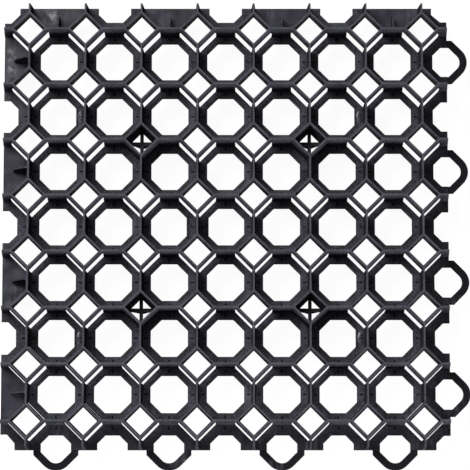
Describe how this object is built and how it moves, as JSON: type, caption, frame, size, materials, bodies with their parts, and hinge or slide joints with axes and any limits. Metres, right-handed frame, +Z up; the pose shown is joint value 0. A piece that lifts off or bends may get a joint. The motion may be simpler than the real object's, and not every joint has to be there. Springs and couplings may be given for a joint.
{
  "type": "grass paver grid",
  "caption": "Square moulded plastic grass paver panel with octagon and diamond cells, a base flange, coupling loops on two edges, cover plates on the other two and four ground pegs.",
  "frame": {"origin": "middle of the whole outline, loops included, on the floor plane at the tips of the pegs", "axes": "+Z up, out of the open cells; +X towards one loop edge, -Y towards the other loop edge"},
  "size_m": [0.5208, 0.5208, 0.065],
  "materials": {
    "grid_plastic": "moulded recycled plastic, anthracite black, satin with scuffs"
  },
  "bodies": {
    "root": {"grid_panel": "grid_plastic"}
  },
  "joints": []
}
